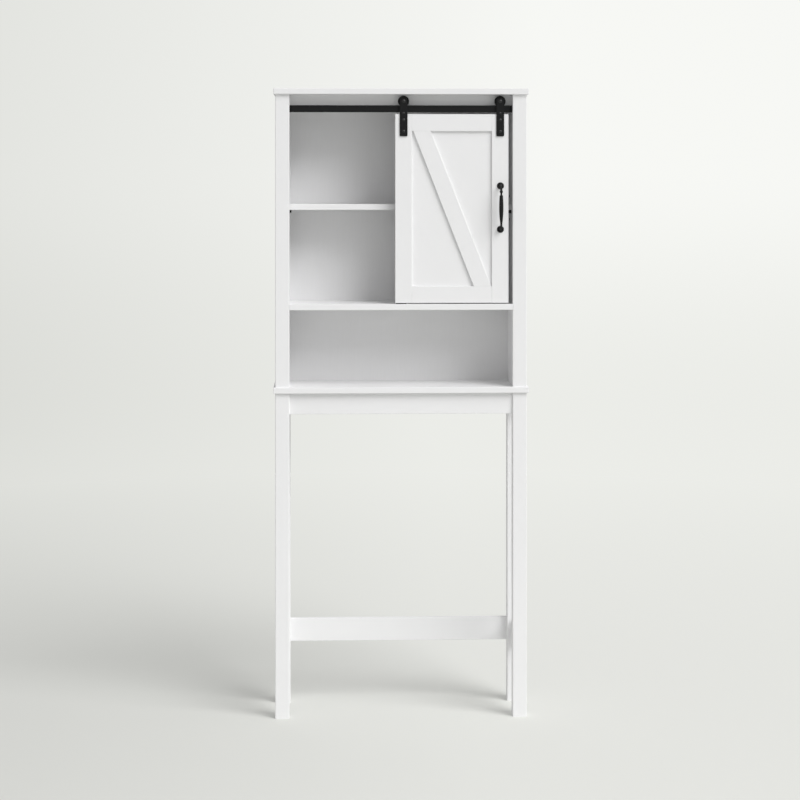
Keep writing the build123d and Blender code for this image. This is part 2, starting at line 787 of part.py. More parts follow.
def make_track():
    """A flat bar with its ends bent back as tabs, screwed to the front posts."""
    bend_outside = track_bend_radius + track_thickness
    tab_y = (track_y[0], track_y[0] + track_tab_length)
    bar = block((-inner_half, inner_half), tab_y, track_z)
    corners = bar.edges().filter_by(Axis.Z).group_by(Axis.Y)[0]
    bar = fillet(corners, bend_outside)
    bay_half = inner_half - track_thickness
    bay = block((-bay_half, bay_half), (track_y[1], tab_y[1]), track_z)
    bay_corners = bay.edges().filter_by(Axis.Z).group_by(Axis.Y)[0]
    track = bar - fillet(bay_corners, track_bend_radius)
    flat_ends = track.faces().sort_by(Axis.Z)
    track = fillet(flat_ends[0].edges() + flat_ends[-1].edges(), track_edge_radius)
    tab_x = (bay_half, inner_half)
    holes = [
        rod_x(tab_x, y, z, small_screw_radius + bore_clearance) for y, z in track_screw_places()
    ]
    save("door_track", track - both_sides(holes))
    length = track_thickness + track_screw_depth
    shape = screw(
        small_screw_radius,
        small_screw_head_radius,
        small_screw_head_rim,
        small_screw_head_rise,
        length,
    )
    screws = [Pos(bay_half, y, z) * Rot(0, -90, 0) * shape for y, z in track_screw_places()]
    save_group("track_screws", both_sides(screws))


def make_pull():
    """The turned pull on the right stile, and the screws that hold it from behind."""
    low, high = pull_foot_z
    grip_y = door_front - pull_standoff
    bend_y = grip_y + pull_bend_radius
    waist_top_z = high - pull_bend_radius
    grip_top = waist_top_z - pull_waist_length
    grip_low = low + pull_bend_radius
    peak = grip_top - pull_grip_peak
    waist_mid = (waist_top_z + grip_top) / 2
    grip = Polyline((0, grip_low), (0, waist_top_z), (pull_neck_radius, waist_top_z))
    grip += ThreePointArc(
        (pull_neck_radius, waist_top_z),
        (pull_waist_radius, waist_mid),
        (pull_neck_radius, grip_top),
    )
    grip += Line((pull_neck_radius, grip_top), (pull_collar_radius, grip_top))
    grip += Spline(
        (pull_collar_radius, grip_top),
        (pull_grip_radius, peak),
        (pull_neck_radius, grip_low),
    )
    grip += Line((pull_neck_radius, grip_low), (0, grip_low))
    turned = Pos(pull_x, grip_y, 0) * revolve(make_face(Plane.XZ * grip), Axis.Z)
    pull = turned + Pos(pull_x, grip_y, waist_top_z) * Sphere(pull_bead_radius)
    foot = dome(pull_foot_radius, pull_foot_rim, pull_foot_rise)
    thread_y = (door_front - pull_screw_engagement - bore_end_clearance, door_front)
    for foot_z, bend_z in ((high, waist_top_z), (low, grip_low)):
        pull += facing_front(pull_x, door_front, foot_z, foot)
        pull += rod_y(pull_x, (bend_y, door_front), foot_z, pull_neck_radius)
        turn = 1 if foot_z > bend_z else -1
        bend_axis = Axis((pull_x, bend_y, bend_z), (turn, 0, 0))
        section = Plane((pull_x, bend_y, foot_z), z_dir=(0, -1, 0)) * Circle(pull_neck_radius)
        pull += revolve(section, bend_axis, 90)
    for foot_z in pull_foot_z:
        pull -= rod_y(pull_x, thread_y, foot_z, screw_radius + bore_clearance)
    save("pull_handle", pull)
    length = door_thickness + pull_screw_engagement
    shape = screw(
        screw_radius, screw_head_radius, screw_head_rim, pull_screw_head - screw_head_rim, length
    )
    screws = [Pos(pull_x, door_y[1], z) * Rot(-90, 0, 0) * shape for z in pull_foot_z]
    save_group("pull_screws", screws)


def guide_screw_places():
    """Places of the two guide screws along X."""
    return [side * (guide_length / 2 - guide_screw_inset) for side in (-1, 1)]


def make_guide():
    """The floor guide, whose tongue keeps the foot of the door in line."""
    base_x = (-guide_length / 2, guide_length / 2)
    base_y = (door_centre_y - guide_base_width / 2, door_centre_y + guide_base_width / 2)
    base_z = (cabinet_floor_top, cabinet_floor_top + guide_base)
    tongue_x_span = (-guide_tongue_length / 2, guide_tongue_length / 2)
    tongue_y = (
        door_centre_y - guide_tongue_thickness / 2,
        door_centre_y + guide_tongue_thickness / 2,
    )
    guide = block(base_x, base_y, base_z)
    guide += block(tongue_x_span, tongue_y, (cabinet_floor_top, door_z[0] + guide_tongue_lap))
    screws = []
    for x in guide_screw_places():
        sink = Pos(x, door_centre_y, base_z[0] + guide_base / 2) * Cone(
            small_screw_radius, small_screw_head_radius, guide_base
        )
        shank_z = (cabinet_floor_top - guide_screw_depth, base_z[1])
        hole = rod_z(x, door_centre_y, base_z, small_screw_radius + bore_clearance)
        wide = Pos(x, door_centre_y, base_z[0] + guide_base / 2) * Cone(
            small_screw_radius + bore_clearance,
            small_screw_head_radius + bore_clearance,
            guide_base,
        )
        guide -= hole + wide
        cross = Pos(x, door_centre_y, 0) * drive_cross(base_z[1])
        screws.append(sink + rod_z(x, door_centre_y, shank_z, small_screw_radius) - cross)
    save("floor_guide", guide)
    save_group("guide_screws", screws)


make_legs()
make_rails()
make_joinery()
make_boards()
make_posts()
make_walls()
make_header()
make_cabinet_floor()
make_adjustable_shelf()
make_shelf_supports()
make_door_frame()
make_door_panel()
make_straps()
make_rollers()
make_axles()
make_strap_fasteners()
make_track()
make_pull()
make_guide()
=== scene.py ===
"""Looks of a white storage rack that stands over a toilet, with a small sliding barn door.

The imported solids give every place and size. The pull and the rollers are built again here with finer
forms, every piece gets a worked finish, and the studio is a pale floor, one soft lamp and an even sky.
Metres. X runs to the right, Y to the back and Z up from the floor.
"""

import logging
import math
from dataclasses import dataclass
from enum import Enum
from functools import cache
from typing import NamedTuple

import bmesh
import bpy
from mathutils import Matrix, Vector


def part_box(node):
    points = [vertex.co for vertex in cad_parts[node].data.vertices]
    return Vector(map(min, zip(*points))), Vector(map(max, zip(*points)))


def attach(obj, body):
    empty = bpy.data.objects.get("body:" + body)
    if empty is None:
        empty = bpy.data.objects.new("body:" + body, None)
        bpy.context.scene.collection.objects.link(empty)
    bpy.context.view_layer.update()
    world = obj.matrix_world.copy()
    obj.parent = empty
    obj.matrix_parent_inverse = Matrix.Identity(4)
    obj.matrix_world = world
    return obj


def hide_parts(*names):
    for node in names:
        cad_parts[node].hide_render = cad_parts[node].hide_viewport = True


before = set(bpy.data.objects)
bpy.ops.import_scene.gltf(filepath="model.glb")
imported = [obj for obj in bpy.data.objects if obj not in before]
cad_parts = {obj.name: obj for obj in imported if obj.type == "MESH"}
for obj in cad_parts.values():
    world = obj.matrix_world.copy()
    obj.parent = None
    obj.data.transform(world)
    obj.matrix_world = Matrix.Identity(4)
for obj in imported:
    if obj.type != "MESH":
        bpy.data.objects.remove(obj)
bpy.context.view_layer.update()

MILLIMETRE = 0.001
RIGHT, BACK, UP = Vector((1.0, 0.0, 0.0)), Vector((0.0, 1.0, 0.0)), Vector((0.0, 0.0, 1.0))
SHARP_ANGLE = math.radians(40)
Colour = tuple[float, float, float]
Pair = tuple[float, float]
Shape = bmesh.types.BMesh
Points = list[bmesh.types.BMVert]
Material = bpy.types.Material
Socket = bpy.types.NodeSocket
Tree = bpy.types.NodeTree
Feed = float | tuple | Socket
log = logging.getLogger("rack")


class Slot(Enum):
    """Material slots of the record, which the finishes belong to."""

    WHITE_PAINT = "white_paint"
    WHITE_BACK = "white_back"
    DOWEL_WOOD = "dowel_wood"
    BLACK_METAL = "black_metal"
    BLACK_ROLLER = "black_roller"
    ZINC_STEEL = "zinc_steel"
    BLACK_PLASTIC = "black_plastic"


class SocketKind(Enum):
    """Kinds of socket on the face of an effect group."""

    VALUE = "NodeSocketFloat"
    COLOUR = "NodeSocketColor"
    VECTOR = "NodeSocketVector"


class Run(Enum):
    """Directions that grain or drawn lines follow, as factors that draw a pattern out along one axis."""

    ALONG_X = (0.05, 1.0, 1.0)
    ALONG_Y = (1.0, 0.05, 1.0)
    ALONG_Z = (1.0, 1.0, 0.05)


class Wiring:
    """Adds nodes to one node tree and joins their sockets."""

    def __init__(self, tree: Tree) -> None:
        """Keeps the tree and empties it."""
        self.tree = tree
        tree.nodes.clear()

    def add(self, kind: str, feeds: dict | None = None, **settings: object) -> bpy.types.Node:
        """Adds one node.

        Args:
            kind: the node's type, as Blender names it.
            feeds: a value, or a socket to link from, for each input by its name or number.
            settings: the node's own properties.

        Returns:
            The new node.
        """
        node = self.tree.nodes.new(kind)
        for name, value in settings.items():
            setattr(node, name, value)
        for name, feed in (feeds or {}).items():
            if isinstance(feed, Socket):
                self.tree.links.new(feed, node.inputs[name])
            else:
                node.inputs[name].default_value = feed
        return node

    def group(self, tree: Tree, feeds: dict[str, Feed]) -> Socket:
        """Places an effect group, feeds its inputs and gives its one output."""
        return self.add("ShaderNodeGroup", feeds, node_tree=tree).outputs[0]

    def math(self, operation: str, *operands: Feed) -> Socket:
        """Joins one or two operands by a Math node and gives its output."""
        return self.add("ShaderNodeMath", dict(enumerate(operands)), operation=operation).outputs[0]

    def vector(self, operation: str, first: Feed, second: Feed, output: str = "Vector") -> Socket:
        """Joins two vectors by a Vector Math node and gives one of its outputs."""
        feeds = {0: first, 1: second}
        return self.add("ShaderNodeVectorMath", feeds, operation=operation).outputs[output]

    def mix(self, factor: Feed, first: Feed, second: Feed) -> Socket:
        """Mixes two colours by a factor and gives the result."""
        return self.add("ShaderNodeMix", {0: factor, 6: first, 7: second}, data_type="RGBA").outputs[2]

    def spread(
        self, value: Feed, span: Pair, onto: tuple[Feed, Feed] = (0.0, 1.0), smooth: bool = False
    ) -> Socket:
        """Maps a value from one span onto another, held at both ends.

        Args:
            value: what is mapped.
            span: lowest and highest value coming in.
            onto: lowest and highest value going out.
            smooth: whether the change eases in and out.

        Returns:
            The mapped value.
        """
        feeds = {0: value, 1: span[0], 2: span[1], 3: onto[0], 4: onto[1]}
        easing = "SMOOTHSTEP" if smooth else "LINEAR"
        return self.add("ShaderNodeMapRange", feeds, interpolation_type=easing).outputs[0]

    def noise(self, vector: Feed, scale: Feed, detail: float) -> Socket:
        """Adds a noise texture and gives its value."""
        feeds = {"Vector": vector, "Scale": scale, "Detail": detail}
        return self.add("ShaderNodeTexNoise", feeds).outputs[0]

    def seen(self) -> Socket:
        """Tells the rays that make up the picture from those that only carry light.

        Returns:
            1 for rays from the eye, from a reflection or through clear matter, and 0 for all others.
        """
        rays = self.add("ShaderNodeLightPath").outputs
        direct = self.math("MAXIMUM", rays["Is Camera Ray"], rays["Is Glossy Ray"])
        return self.math("MAXIMUM", direct, rays["Is Transmission Ray"])


class Effect:
    """A shader node group that several finishes share, with one output."""

    def __init__(self, name: str, inputs: dict[str, SocketKind], output: str, kind: SocketKind) -> None:
        """Makes the empty group with its sockets.

        Args:
            name: the group's name.
            inputs: name and kind of each input.
            output: name of the output.
            kind: kind of the output.
        """
        self.tree = bpy.data.node_groups.new(name, "ShaderNodeTree")
        self.wiring = Wiring(self.tree)
        for label, socket in inputs.items():
            self.tree.interface.new_socket(label, in_out="INPUT", socket_type=socket.value)
        self.tree.interface.new_socket(output, in_out="OUTPUT", socket_type=kind.value)
        self.inputs = self.wiring.add("NodeGroupInput").outputs

    def close(self, result: Socket) -> Tree:
        """Links the result to the group's output and gives the finished group."""
        self.wiring.add("NodeGroupOutput", {0: result})
        return self.tree


@cache
def sprayed_texture() -> Tree:
    """Fine pebbling of a sprayed or moulded skin, as a height from 0 to 1.

    Returns:
        The finished group.
    """
    inputs = {"Place": SocketKind.VECTOR, "Grain": SocketKind.VALUE, "Waviness": SocketKind.VALUE}
    effect = Effect("sprayed_texture", inputs, "Height", SocketKind.VALUE)
    wiring, given = effect.wiring, effect.inputs
    fine = wiring.noise(given["Place"], given["Grain"], detail=2.0)
    broad_scale = wiring.math("MULTIPLY", given["Grain"], 0.13)
    broad = wiring.noise(given["Place"], broad_scale, detail=1.0)
    return effect.close(wiring.math("ADD", fine, wiring.math("MULTIPLY", broad, given["Waviness"])))


@cache
def tone_drift() -> Tree:
    """A colour that grows a little lighter and darker over the surface.

    Returns:
        The finished group.
    """
    inputs = {
        "Place": SocketKind.VECTOR,
        "Colour": SocketKind.COLOUR,
        "Scale": SocketKind.VALUE,
        "Amount": SocketKind.VALUE,
    }
    effect = Effect("tone_drift", inputs, "Colour", SocketKind.COLOUR)
    wiring, given = effect.wiring, effect.inputs
    cloud = wiring.noise(given["Place"], given["Scale"], detail=3.0)
    swing = wiring.math("MULTIPLY", wiring.math("SUBTRACT", cloud, 0.5), given["Amount"])
    value = wiring.math("ADD", swing, 1.0)
    shifted = wiring.add("ShaderNodeHueSaturation", {"Color": given["Colour"], "Value": value})
    return effect.close(shifted.outputs[0])


@cache
def sheen_patches() -> Tree:
    """A roughness that wanders between a smoother and a duller value.

    Returns:
        The finished group.
    """
    inputs = {
        "Place": SocketKind.VECTOR,
        "Scale": SocketKind.VALUE,
        "Smoother": SocketKind.VALUE,
        "Duller": SocketKind.VALUE,
    }
    effect = Effect("sheen_patches", inputs, "Roughness", SocketKind.VALUE)
    wiring, given = effect.wiring, effect.inputs
    cloud = wiring.noise(given["Place"], given["Scale"], detail=4.0)
    return effect.close(wiring.spread(cloud, (0.3, 0.7), (given["Smoother"], given["Duller"])))


@cache
def edge_wear_and_highlight() -> Tree:
    """A mask of the outer edges, broken up where hands and cloths have not reached; the black coat takes
    it as rubbed wear, the white paint as a painted highlight along its edges.

    Returns:
        The finished group.
    """
    inputs = {"Place": SocketKind.VECTOR, "Width": SocketKind.VALUE, "Amount": SocketKind.VALUE}
    effect = Effect("edge_wear_and_highlight", inputs, "Mask", SocketKind.VALUE)
    wiring, given = effect.wiring, effect.inputs
    rounded = wiring.add("ShaderNodeBevel", {"Radius": given["Width"]}, samples=4).outputs[0]
    flat = wiring.add("ShaderNodeNewGeometry").outputs["True Normal"]
    turn = wiring.math("SUBTRACT", 1.0, wiring.vector("DOT_PRODUCT", rounded, flat, "Value"))
    edge = wiring.spread(turn, (0.02, 0.18))
    cloud = wiring.noise(given["Place"], scale=70.0, detail=3.0)
    worn = wiring.math("MULTIPLY", edge, wiring.spread(cloud, (0.42, 0.62), (0.25, 1.0)))
    return effect.close(wiring.math("MULTIPLY", worn, given["Amount"]))


@cache
def settled_dust() -> Tree:
    """A mask of thin dust on the faces that look up.

    Returns:
        The finished group.
    """
    inputs = {"Place": SocketKind.VECTOR, "Scale": SocketKind.VALUE, "Amount": SocketKind.VALUE}
    effect = Effect("settled_dust", inputs, "Mask", SocketKind.VALUE)
    wiring, given = effect.wiring, effect.inputs
    normal = wiring.add("ShaderNodeNewGeometry").outputs["Normal"]
    lift = wiring.vector("DOT_PRODUCT", normal, (0.0, 0.0, 1.0), "Value")
    up = wiring.spread(lift, (0.6, 1.0))
    cloud = wiring.noise(given["Place"], given["Scale"], detail=5.0)
    settled = wiring.math("MULTIPLY", up, wiring.spread(cloud, (0.35, 0.75)))
    return effect.close(wiring.math("MULTIPLY", settled, given["Amount"]))


@cache
def long_lines() -> Tree:
    """A mask of fine lines that run one way, as in wood grain, hardboard fibres or drawn wire.

    Returns:
        The finished group.
    """
    inputs = {"Place": SocketKind.VECTOR, "Squeeze": SocketKind.VECTOR, "Scale": SocketKind.VALUE}
    effect = Effect("long_lines", inputs, "Mask", SocketKind.VALUE)
    wiring, given = effect.wiring, effect.inputs
    drawn = wiring.vector("MULTIPLY", given["Place"], given["Squeeze"])
    lines = wiring.noise(drawn, given["Scale"], detail=6.0)
    return effect.close(wiring.spread(lines, (0.3, 0.7)))


class Bench:
    """One new material with its wiring, its place coordinates and its shader."""

    def __init__(self, name: str, **plain: Feed) -> None:
        """Starts a material.

        Args:
            name: the material's name.
            plain: shader sockets that are the same all over, with underscores for spaces.
        """
        self.material = bpy.data.materials.new(name)
        self.material.use_nodes = True
        self.wiring = Wiring(self.material.node_tree)
        self.place = self.wiring.add("ShaderNodeTexCoord").outputs["Object"]
        self.shader = self.wiring.add("ShaderNodeBsdfPrincipled")
        for socket, value in plain.items():
            self.shader.inputs[socket.replace("_", " ")].default_value = value
        self.wiring.add("ShaderNodeOutputMaterial", {"Surface": self.shader.outputs[0]})

    def effect(self, tree: Tree, **feeds: Feed) -> Socket:
        """Places an effect group on the material's coordinates and gives its output."""
        return self.wiring.group(tree, {"Place": self.place, **feeds})

    def feed(self, socket: str, source: Socket) -> None:
        """Links a source to one of the shader's sockets."""
        self.wiring.tree.links.new(source, self.shader.inputs[socket])

    def emboss(self, height: Socket, depth: float) -> None:
        """Turns a height into the shader's normal.

        Args:
            height: the height, from 0 to about 1.
            depth: how deep a height of 1 is, in metres.
        """
        bump = self.wiring.add("ShaderNodeBump", {"Height": height, "Distance": depth, "Strength": 1.0})
        self.feed("Normal", bump.outputs[0])


@dataclass(frozen=True)
class SprayedPaint:
    """Satin white paint, sprayed on fibreboard."""

    name: str = "white_paint_sprayed"
    colour: Colour = (0.855, 0.854, 0.860)
    drift: float = 0.02
    smoother: float = 0.48
    duller: float = 0.58
    peel_scale: float = 420.0
    peel_depth: float = 0.00002
    # painted highlight: the white is lighter along the edges, as if the rounded edges caught the lamp
    edge_wear_and_highlight_colour: Colour = (0.88, 0.88, 0.878)
    dust_colour: Colour = (0.80, 0.79, 0.77)

    def material(self) -> Material:
        """Makes the material.

        Returns:
            The finished material.
        """
        bench = Bench(self.name, Specular_IOR_Level=0.25)
        base = bench.effect(tone_drift(), Colour=(*self.colour, 1.0), Scale=6.0, Amount=self.drift)
        # painted highlight: along the edges the paint is mixed towards the lighter edge white
        edges = bench.effect(edge_wear_and_highlight(), Width=0.0012, Amount=0.5)
        dust = bench.effect(settled_dust(), Scale=9.0, Amount=0.25)
        base = bench.wiring.mix(edges, base, (*self.edge_wear_and_highlight_colour, 1.0))
        bench.feed("Base Color", bench.wiring.mix(dust, base, (*self.dust_colour, 1.0)))
        sheen = bench.effect(sheen_patches(), Scale=14.0, Smoother=self.smoother, Duller=self.duller)
        bench.feed("Roughness", sheen)
        peel = bench.effect(sprayed_texture(), Grain=self.peel_scale, Waviness=1.5)
        bench.emboss(peel, self.peel_depth)
        return bench.material


@dataclass(frozen=True)
class PaintedHardboard:
    """Thin white-faced hardboard with faint upright fibres."""

    name: str = "white_back_hardboard"
    colour: Colour = (0.840, 0.839, 0.845)
    fibre_colour: Colour = (0.825, 0.824, 0.827)
    fibre_depth: float = 0.00001

    def material(self) -> Material:
        """Makes the material.

        Returns:
            The finished material.
        """
        bench = Bench(self.name, Specular_IOR_Level=0.25)
        base = bench.effect(tone_drift(), Colour=(*self.colour, 1.0), Scale=4.0, Amount=0.02)
        fibres = bench.effect(long_lines(), Squeeze=Run.ALONG_Z.value, Scale=260.0)
        bench.feed("Base Color", bench.wiring.mix(fibres, base, (*self.fibre_colour, 1.0)))
        bench.feed("Roughness", bench.effect(sheen_patches(), Scale=10.0, Smoother=0.45, Duller=0.58))
        bench.emboss(fibres, self.fibre_depth)
        return bench.material


@dataclass(frozen=True)
class BareBeech:
    """Plain turned beech, with its grain along the dowel."""

    run: Run
    pale: Colour = (0.66, 0.50, 0.33)
    dark: Colour = (0.50, 0.34, 0.20)
    grain_depth: float = 0.00005

    def material(self) -> Material:
        """Makes the material.

        Returns:
            The finished material.
        """
        bench = Bench(f"beech_{self.run.name.lower()}", Specular_IOR_Level=0.3)
        grain = bench.effect(long_lines(), Squeeze=self.run.value, Scale=900.0)
        base = bench.effect(tone_drift(), Colour=(*self.pale, 1.0), Scale=40.0, Amount=0.15)
        bench.feed("Base Color", bench.wiring.mix(grain, base, (*self.dark, 1.0)))
        bench.feed("Roughness", bench.effect(sheen_patches(), Scale=60.0, Smoother=0.55, Duller=0.72))
        bench.emboss(grain, self.grain_depth)
        return bench.material


@dataclass(frozen=True)
class PowderCoat:
    """Black powder coat on steel, matt unless its roughness is set lower."""

    name: str
    colour: Colour = (0.008, 0.008, 0.0084)
    specular: float = 0.15
    smoother: float = 0.42
    duller: float = 0.56
    grain: float = 900.0
    grain_depth: float = 0.00004
    edge_wear_and_highlight_colour: Colour = (0.020, 0.020, 0.021)
    dust_colour: Colour = (0.06, 0.059, 0.056)

    def material(self) -> Material:
        """Makes the material.

        Returns:
            The finished material.
        """
        bench = Bench(self.name, Specular_IOR_Level=self.specular)
        base = bench.effect(tone_drift(), Colour=(*self.colour, 1.0), Scale=30.0, Amount=0.3)
        edges = bench.effect(edge_wear_and_highlight(), Width=0.0006, Amount=0.6)
        dust = bench.effect(settled_dust(), Scale=60.0, Amount=0.15)
        base = bench.wiring.mix(edges, base, (*self.edge_wear_and_highlight_colour, 1.0))
        bench.feed("Base Color", bench.wiring.mix(dust, base, (*self.dust_colour, 1.0)))
        sheen = bench.effect(sheen_patches(), Scale=45.0, Smoother=self.smoother, Duller=self.duller)
        bench.feed("Roughness", sheen)
        bench.emboss(bench.effect(sprayed_texture(), Grain=self.grain, Waviness=0.6), self.grain_depth)
        return bench.material


@dataclass(frozen=True)
class ZincPlate:
    """Bright zinc plate on threaded rods, nuts and hidden screws."""

    name: str = "zinc_steel_plated"
    colour: Colour = (0.56, 0.57, 0.60)
    line_depth: float = 0.00002

    def material(self) -> Material:
        """Makes the material.

        Returns:
            The finished material.
        """
        bench = Bench(self.name, Metallic=1.0)
        base = bench.effect(tone_drift(), Colour=(*self.colour, 1.0), Scale=80.0, Amount=0.2)
        bench.feed("Base Color", base)
        bench.feed("Roughness", bench.effect(sheen_patches(), Scale=120.0, Smoother=0.25, Duller=0.42))
        lines = bench.effect(long_lines(), Squeeze=Run.ALONG_Z.value, Scale=1500.0)
        bench.emboss(lines, self.line_depth)
        return bench.material


@dataclass(frozen=True)
class MouldedPlastic:
    """Black moulded plastic with a fine spark texture."""

    name: str = "black_plastic_moulded"
    colour: Colour = (0.02, 0.02, 0.021)
    dust_colour: Colour = (0.07, 0.069, 0.066)
    grain_depth: float = 0.00002

    def material(self) -> Material:
        """Makes the material.

        Returns:
            The finished material.
        """
        bench = Bench(self.name, Specular_IOR_Level=0.45)
        base = bench.effect(tone_drift(), Colour=(*self.colour, 1.0), Scale=50.0, Amount=0.03)
        dust = bench.effect(settled_dust(), Scale=80.0, Amount=0.3)
        bench.feed("Base Color", bench.wiring.mix(dust, base, (*self.dust_colour, 1.0)))
        bench.feed("Roughness", bench.effect(sheen_patches(), Scale=70.0, Smoother=0.36, Duller=0.5))
        bench.emboss(bench.effect(sprayed_texture(), Grain=1400.0, Waviness=0.3), self.grain_depth)
        return bench.material


@cache
def finish(slot: Slot, run: Run = Run.ALONG_X) -> Material:
    """Makes the material of a slot once.

    Args:
        slot: the slot of the record.
        run: the way the grain runs, where the finish has grain.

    Returns:
        The finished material.
    """
    finishes = {
        Slot.WHITE_PAINT: SprayedPaint(),
        Slot.WHITE_BACK: PaintedHardboard(),
        Slot.DOWEL_WOOD: BareBeech(run),
        Slot.BLACK_METAL: PowderCoat("black_metal_coat"),
        Slot.BLACK_ROLLER: PowderCoat("black_roller_coat", smoother=0.36, duller=0.5, grain=1200.0),
        Slot.ZINC_STEEL: ZincPlate(),
        Slot.BLACK_PLASTIC: MouldedPlastic(),
    }
    return finishes[slot].material()


@cache
def bright_black() -> Material:
    """Makes the smoother black of the fasteners and shelf supports, which catches small lights."""
    coat = PowderCoat("black_metal_bright", specular=0.4, smoother=0.16, duller=0.24, grain_depth=0.00001)
    return coat.material()


def dress(node: str, material: Material) -> None:
    """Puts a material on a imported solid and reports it.

    Args:
        node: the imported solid's name.
        material: the finished material.
    """
    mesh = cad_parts[node].data
    for index in range(len(mesh.materials)):
        mesh.materials[index] = material
    log.info("%s: %s", node, material.name)


def place_piece(name: str, shape: Shape, body: str, slot: Slot, *nodes: str) -> None:
    """Turns a finished shape into a piece of the rack.

    Args:
        name: the piece's name.
        shape: the shape, in the rack's own frame, which is freed.
        body: the body that it moves with.
        slot: the slot that it takes its finish from.
        nodes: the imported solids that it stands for.
    """
    bmesh.ops.recalc_face_normals(shape, faces=shape.faces)
    mesh = bpy.data.meshes.new(name)
    shape.to_mesh(mesh)
    shape.free()
    mesh.shade_smooth()
    mesh.set_sharp_from_angle(angle=SHARP_ANGLE)
    mesh.materials.append(finish(slot))
    piece = bpy.data.objects.new(name, mesh)
    bpy.context.scene.collection.objects.link(piece)
    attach(piece, body)
    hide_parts(*nodes)
    log.info("%s: %s faces, rides on %s", name, len(mesh.polygons), body)


def add_ring(
    shape: Shape, centre: Vector, sides: tuple[Vector, Vector], radius: float, turns: int
) -> Points:
    """Adds the points of one ring to a shape.

    Args:
        shape: the shape that gets the points.
        centre: the ring's middle.
        sides: two unit vectors square to each other, in the ring's plane.
        radius: the ring's radius.
        turns: number of points.

    Returns:
        The points, in order.
    """
    points = []
    for turn in range(turns):
        angle = math.tau * turn / turns
        spoke = sides[0] * math.cos(angle) + sides[1] * math.sin(angle)
        points.append(shape.verts.new(centre + spoke * radius))
    return points


def bridge(shape: Shape, first: Points, second: Points) -> None:
    """Joins two rings of points by a band of faces.

    Args:
        shape: the shape that gets the faces.
        first: points of one ring, in order.
        second: as many points of the next ring.
    """
    count = len(first)
    for turn in range(count):
        after = (turn + 1) % count
        shape.faces.new((first[turn], second[turn], second[after], first[after]))


def arc(centre: Pair, radius: float, start: float, stop: float, steps: int) -> list[Pair]:
    """Points along a flat arc.

    Args:
        centre: the arc's centre.
        radius: its radius.
        start: first angle, in degrees.
        stop: last angle, in degrees.
        steps: number of steps between them.

    Returns:
        The points, both ends included.
    """
    angles = [math.radians(start + (stop - start) * step / steps) for step in range(steps + 1)]
    return [
        (centre[0] + radius * math.cos(angle), centre[1] + radius * math.sin(angle)) for angle in angles
    ]


@dataclass(frozen=True)
class WoodenFrame:
    """The painted woodwork: stand, cabinet, shelf and door leaf."""

    stand: tuple[str, ...] = (
        "left_front_leg", "right_front_leg", "left_rear_leg", "right_rear_leg",
        "front_apron", "rear_apron", "left_side_apron", "right_side_apron",
        "left_side_rail", "right_side_rail", "rear_crossbar",
    )
    cabinet: tuple[str, ...] = (
        "top_board", "waist_board", "cabinet_floor", "header_rail",
        "left_front_post", "right_front_post", "left_rear_post", "right_rear_post",
        "left_side_panel", "right_side_panel", "adjustable_shelf",
    )
    leaf: tuple[str, ...] = (
        "door_left_stile", "door_right_stile", "door_top_rail", "door_bottom_rail",
        "door_panel", "door_brace",
    )

    def build(self) -> None:
        """Dresses every painted board and the back panel."""
        for node in self.stand + self.cabinet + self.leaf:
            dress(node, finish(Slot.WHITE_PAINT))
        dress("back_panel", finish(Slot.WHITE_BACK))


@dataclass(frozen=True)
class Joinery:
    """Dowels and threaded rods inside the joints."""

    across: tuple[str, ...] = ("apron_dowels", "crossbar_dowels", "cabinet_floor_dowels")
    to_the_back: tuple[str, ...] = ("side_apron_dowels", "side_rail_dowels")
    upright: tuple[str, ...] = ("top_dowels", "header_dowels")
    plated: tuple[str, ...] = ("waist_bolts", "guide_screws", "axle_nuts", "pull_screws")

    def build(self) -> None:
        """Dresses the dowels with grain along their length, and the plated hardware."""
        runs = {Run.ALONG_X: self.across, Run.ALONG_Y: self.to_the_back, Run.ALONG_Z: self.upright}
        for run, nodes in runs.items():
            for node in nodes:
                dress(node, finish(Slot.DOWEL_WOOD, run))
        for node in self.plated:
            dress(node, finish(Slot.ZINC_STEEL))
        dress("floor_guide", finish(Slot.BLACK_PLASTIC))


